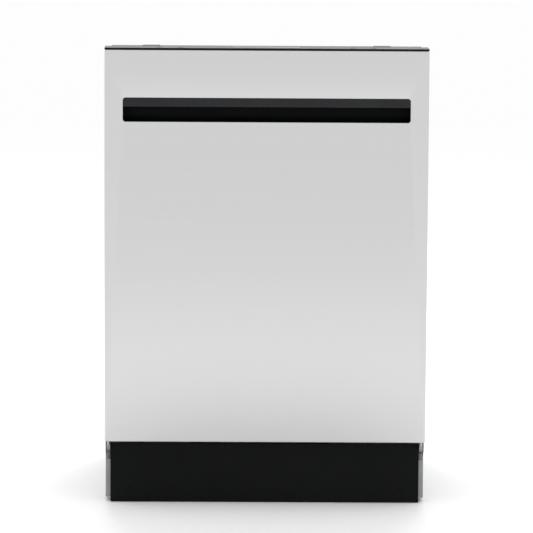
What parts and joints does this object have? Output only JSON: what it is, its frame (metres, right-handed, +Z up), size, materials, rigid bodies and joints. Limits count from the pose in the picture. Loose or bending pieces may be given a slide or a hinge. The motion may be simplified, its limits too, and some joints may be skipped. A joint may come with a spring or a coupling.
{
  "type": "built in dishwasher",
  "caption": "Built-in dishwasher with a drop-down steel door, recessed pocket handle, tub, two sliding racks, spray arms, pumps and a base with a toe kick.",
  "frame": {"origin": "on the floor under the middle of the whole machine's box", "axes": "+Z up, +X to the right seen from the front, the door faces -Y"},
  "size_m": [0.603, 0.622, 0.86],
  "materials": {
    "door_steel": "fine horizontal brushing, satin",
    "tub_steel": "bright rolled stainless sheet",
    "galvanised": "galvanised steel sheet, dull grey",
    "heater_steel": "bright stainless, slightly heat-tinted on the heater",
    "spring_steel": "oiled spring wire",
    "satin_black": "satin black paint",
    "leg_black": "moulded black nylon on a steel stud",
    "gloss_black": "glossy black moulding",
    "grey_plastic": "mid-grey moulded polypropylene",
    "light_plastic": "light grey moulded plastic",
    "pump_housing": "dark grey pump body with its motor",
    "rack_coating": "grey nylon-coated steel wire",
    "rubber": "black extruded rubber",
    "blanket": "dark felt sound blanket, quilted",
    "board": "green circuit board"
  },
  "bodies": {
    "root": {"tub_wrapper": "tub_steel", "tub_back": "tub_steel", "tub_floor": "grey_plastic", "tub_gasket": "rubber", "insulation_blanket": "blanket", "top_brace": "galvanised", "mounting_bracket_left": "galvanised", "mounting_bracket_right": "galvanised", "base_side_left": "galvanised", "base_side_right": "galvanised", "base_front_rail": "galvanised", "base_pan": "galvanised", "toe_kick": "satin_black", "door_spring_left": "spring_steel", "door_spring_right": "spring_steel", "sump": "grey_plastic", "circulation_pump": "pump_housing", "drain_pump": "pump_housing", "inlet_valve": "light_plastic", "junction_box": "galvanised", "heater": "heater_steel", "riser_tube": "light_plastic", "filter_plate": "heater_steel", "rail_bracket_left": "heater_steel", "rail_bracket_right": "heater_steel"},
    "door": {"door_outer_panel": "door_steel", "door_inner_panel": "tub_steel", "console": "gloss_black", "handle_pocket": "gloss_black", "control_board": "board", "latch_housing": "grey_plastic", "hinge_arm_left": "galvanised", "hinge_arm_right": "galvanised", "dispenser": "grey_plastic"},
    "lower_rack": {"lower_rack": "rack_coating", "silverware_basket": "grey_plastic", "wheel_carrier_left": "grey_plastic", "wheel_carrier_right": "grey_plastic"},
    "upper_rails": {"upper_rail_left": "heater_steel", "upper_rail_right": "heater_steel"},
    "upper_rack": {"upper_rack": "rack_coating"},
    "lower_spray_arm": {"lower_spray_arm": "grey_plastic"},
    "upper_spray_arm": {"upper_spray_arm": "grey_plastic"},
    "lower_wheel_front_left": {"lower_wheel_front_left": "grey_plastic"},
    "lower_wheel_front_right": {"lower_wheel_front_right": "grey_plastic"},
    "lower_wheel_rear_left": {"lower_wheel_rear_left": "grey_plastic"},
    "lower_wheel_rear_right": {"lower_wheel_rear_right": "grey_plastic"},
    "leg_front_left": {"leg_front_left": "leg_black"},
    "leg_front_right": {"leg_front_right": "leg_black"},
    "leg_rear_left": {"leg_rear_left": "leg_black"},
    "leg_rear_right": {"leg_rear_right": "leg_black"},
    "filter_cup": {"filter_cup": "light_plastic"},
    "float": {"float": "light_plastic"},
    "latch_hook": {"latch_hook": "galvanised"},
    "dispenser_lid": {"dispenser_lid": "light_plastic"},
    "rinse_cap": {"rinse_cap": "light_plastic"},
    "button_1": {"button_1": "gloss_black"},
    "button_2": {"button_2": "gloss_black"},
    "button_3": {"button_3": "gloss_black"},
    "button_4": {"button_4": "gloss_black"}
  },
  "joints": [
    {"name": "door_hinge", "type": "hinge", "parent": "root", "child": "door", "pos_m": [0, -0.281, 0.108], "axis": [1, 0, 0], "range_deg": [0, 90], "stiffness_Nm_per_rad": 33, "deforming": ["door_spring_left", "door_spring_right"]},
    {"name": "lower_rack_slide", "type": "slide", "parent": "root", "child": "lower_rack", "axis": [0, -1, 0], "range_m": [0, 0.5]},
    {"name": "upper_rails_slide", "type": "slide", "parent": "root", "child": "upper_rails", "axis": [0, -1, 0], "range_m": [0, 0.225]},
    {"name": "upper_rack_slide", "type": "slide", "parent": "upper_rails", "child": "upper_rack", "axis": [0, -1, 0], "range_m": [0, 0.225]},
    {"name": "lower_spray_arm_spin", "type": "hinge", "parent": "root", "child": "lower_spray_arm", "pos_m": [0, 0.02, 0.15], "axis": [0, 0, 1], "continuous": true},
    {"name": "upper_spray_arm_spin", "type": "hinge", "parent": "upper_rack", "child": "upper_spray_arm", "pos_m": [0, 0.02, 0.49], "axis": [0, 0, 1], "continuous": true},
    {"name": "lower_wheel_front_left_spin", "type": "hinge", "parent": "lower_rack", "child": "lower_wheel_front_left", "pos_m": [-0.257, -0.116, 0.1575], "axis": [1, 0, 0], "continuous": true},
    {"name": "lower_wheel_front_right_spin", "type": "hinge", "parent": "lower_rack", "child": "lower_wheel_front_right", "pos_m": [0.257, -0.116, 0.1575], "axis": [1, 0, 0], "continuous": true},
    {"name": "lower_wheel_rear_left_spin", "type": "hinge", "parent": "lower_rack", "child": "lower_wheel_rear_left", "pos_m": [-0.257, 0.17, 0.1575], "axis": [1, 0, 0], "continuous": true},
    {"name": "lower_wheel_rear_right_spin", "type": "hinge", "parent": "lower_rack", "child": "lower_wheel_rear_right", "pos_m": [0.257, 0.17, 0.1575], "axis": [1, 0, 0], "continuous": true},
    {"name": "leg_front_left_screw", "type": "slide", "parent": "root", "child": "leg_front_left", "axis": [0, 0, -1], "range_m": [0, 0.03]},
    {"name": "leg_front_right_screw", "type": "slide", "parent": "root", "child": "leg_front_right", "axis": [0, 0, -1], "range_m": [0, 0.03]},
    {"name": "leg_rear_left_screw", "type": "slide", "parent": "root", "child": "leg_rear_left", "axis": [0, 0, -1], "range_m": [0, 0.03]},
    {"name": "leg_rear_right_screw", "type": "slide", "parent": "root", "child": "leg_rear_right", "axis": [0, 0, -1], "range_m": [0, 0.03]},
    {"name": "filter_cup_turn", "type": "hinge", "parent": "root", "child": "filter_cup", "pos_m": [0, -0.095, 0.13], "axis": [0, 0, 1], "range_deg": [0, 90]},
    {"name": "float_lift", "type": "slide", "parent": "root", "child": "float", "axis": [0, 0, 1], "range_m": [0, 0.008]},
    {"name": "latch_hook_turn", "type": "hinge", "parent": "door", "child": "latch_hook", "pos_m": [0, -0.272, 0.84], "axis": [1, 0, 0], "range_deg": [0, 12], "stiffness_Nm_per_rad": 0.2},
    {"name": "soap_lid_slide", "type": "slide", "parent": "door", "child": "dispenser_lid", "axis": [-1, 0, 0], "range_m": [0, 0.06]},
    {"name": "rinse_cap_turn", "type": "hinge", "parent": "door", "child": "rinse_cap", "pos_m": [0.055, -0.25, 0.497], "axis": [0, 1, 0], "range_deg": [0, 90]},
    {"name": "push_button_1", "type": "slide", "parent": "door", "child": "button_1", "axis": [0, 0, -1], "range_m": [0, 0.001], "stiffness_N_per_m": 400},
    {"name": "push_button_2", "type": "slide", "parent": "door", "child": "button_2", "axis": [0, 0, -1], "range_m": [0, 0.001], "stiffness_N_per_m": 400},
    {"name": "push_button_3", "type": "slide", "parent": "door", "child": "button_3", "axis": [0, 0, -1], "range_m": [0, 0.001], "stiffness_N_per_m": 400},
    {"name": "push_button_4", "type": "slide", "parent": "door", "child": "button_4", "axis": [0, 0, -1], "range_m": [0, 0.001], "stiffness_N_per_m": 400}
  ],
  "couplings": [
    {"joint": "lower_rack_slide", "follows": "door_hinge", "m_per_rad": 0.115},
    {"joint": "upper_rails_slide", "follows": "door_hinge", "m_per_rad": 0.1432},
    {"joint": "upper_rack_slide", "follows": "door_hinge", "m_per_rad": 0.1432},
    {"joint": "lower_wheel_front_left_spin", "follows": "door_hinge", "ratio": 6.3889},
    {"joint": "lower_wheel_front_right_spin", "follows": "door_hinge", "ratio": 6.3889},
    {"joint": "lower_wheel_rear_left_spin", "follows": "door_hinge", "ratio": 6.3889},
    {"joint": "lower_wheel_rear_right_spin", "follows": "door_hinge", "ratio": 6.3889}
  ]
}
